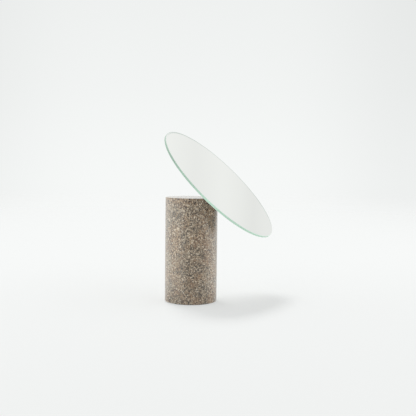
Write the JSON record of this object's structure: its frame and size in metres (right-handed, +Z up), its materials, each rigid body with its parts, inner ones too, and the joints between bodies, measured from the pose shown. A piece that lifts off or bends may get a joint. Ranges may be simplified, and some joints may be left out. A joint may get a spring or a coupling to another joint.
{
  "type": "table mirror",
  "caption": "Round frameless table mirror tilted at 45 degrees on the rim of a granite column, turning on a hidden magnetic pivot.",
  "frame": {"origin": "centre of the column's underside, on the surface that the object stands on", "axes": "+Z up along the column's axis; the mirror faces -Y and up, and its centre lies towards +X"},
  "size_m": [0.2, 0.1429, 0.2286],
  "materials": {
    "granite": "satin",
    "pad": "matte",
    "steel": "satin",
    "nickel": "polished",
    "brass": "satin",
    "glide": "satin",
    "tape": "matte",
    "silver": "polished",
    "glass": "polished"
  },
  "bodies": {
    "column": {"stone_column": "granite", "base_pad": "pad", "magnet_back_plate": "steel", "ring_magnet": "nickel", "pivot_bush": "brass"},
    "mirror": {"pivot_pin": "steel", "glide_disc": "glide", "keeper_plate": "steel", "bond_pad": "tape", "silvering": "silver", "mirror_glass": "glass"}
  },
  "joints": [
    {"name": "mirror_turn", "type": "hinge", "parent": "column", "child": "mirror", "pos_m": [0, -0.03, 0.135], "axis": [0, -0.7071, 0.7071], "continuous": true}
  ]
}
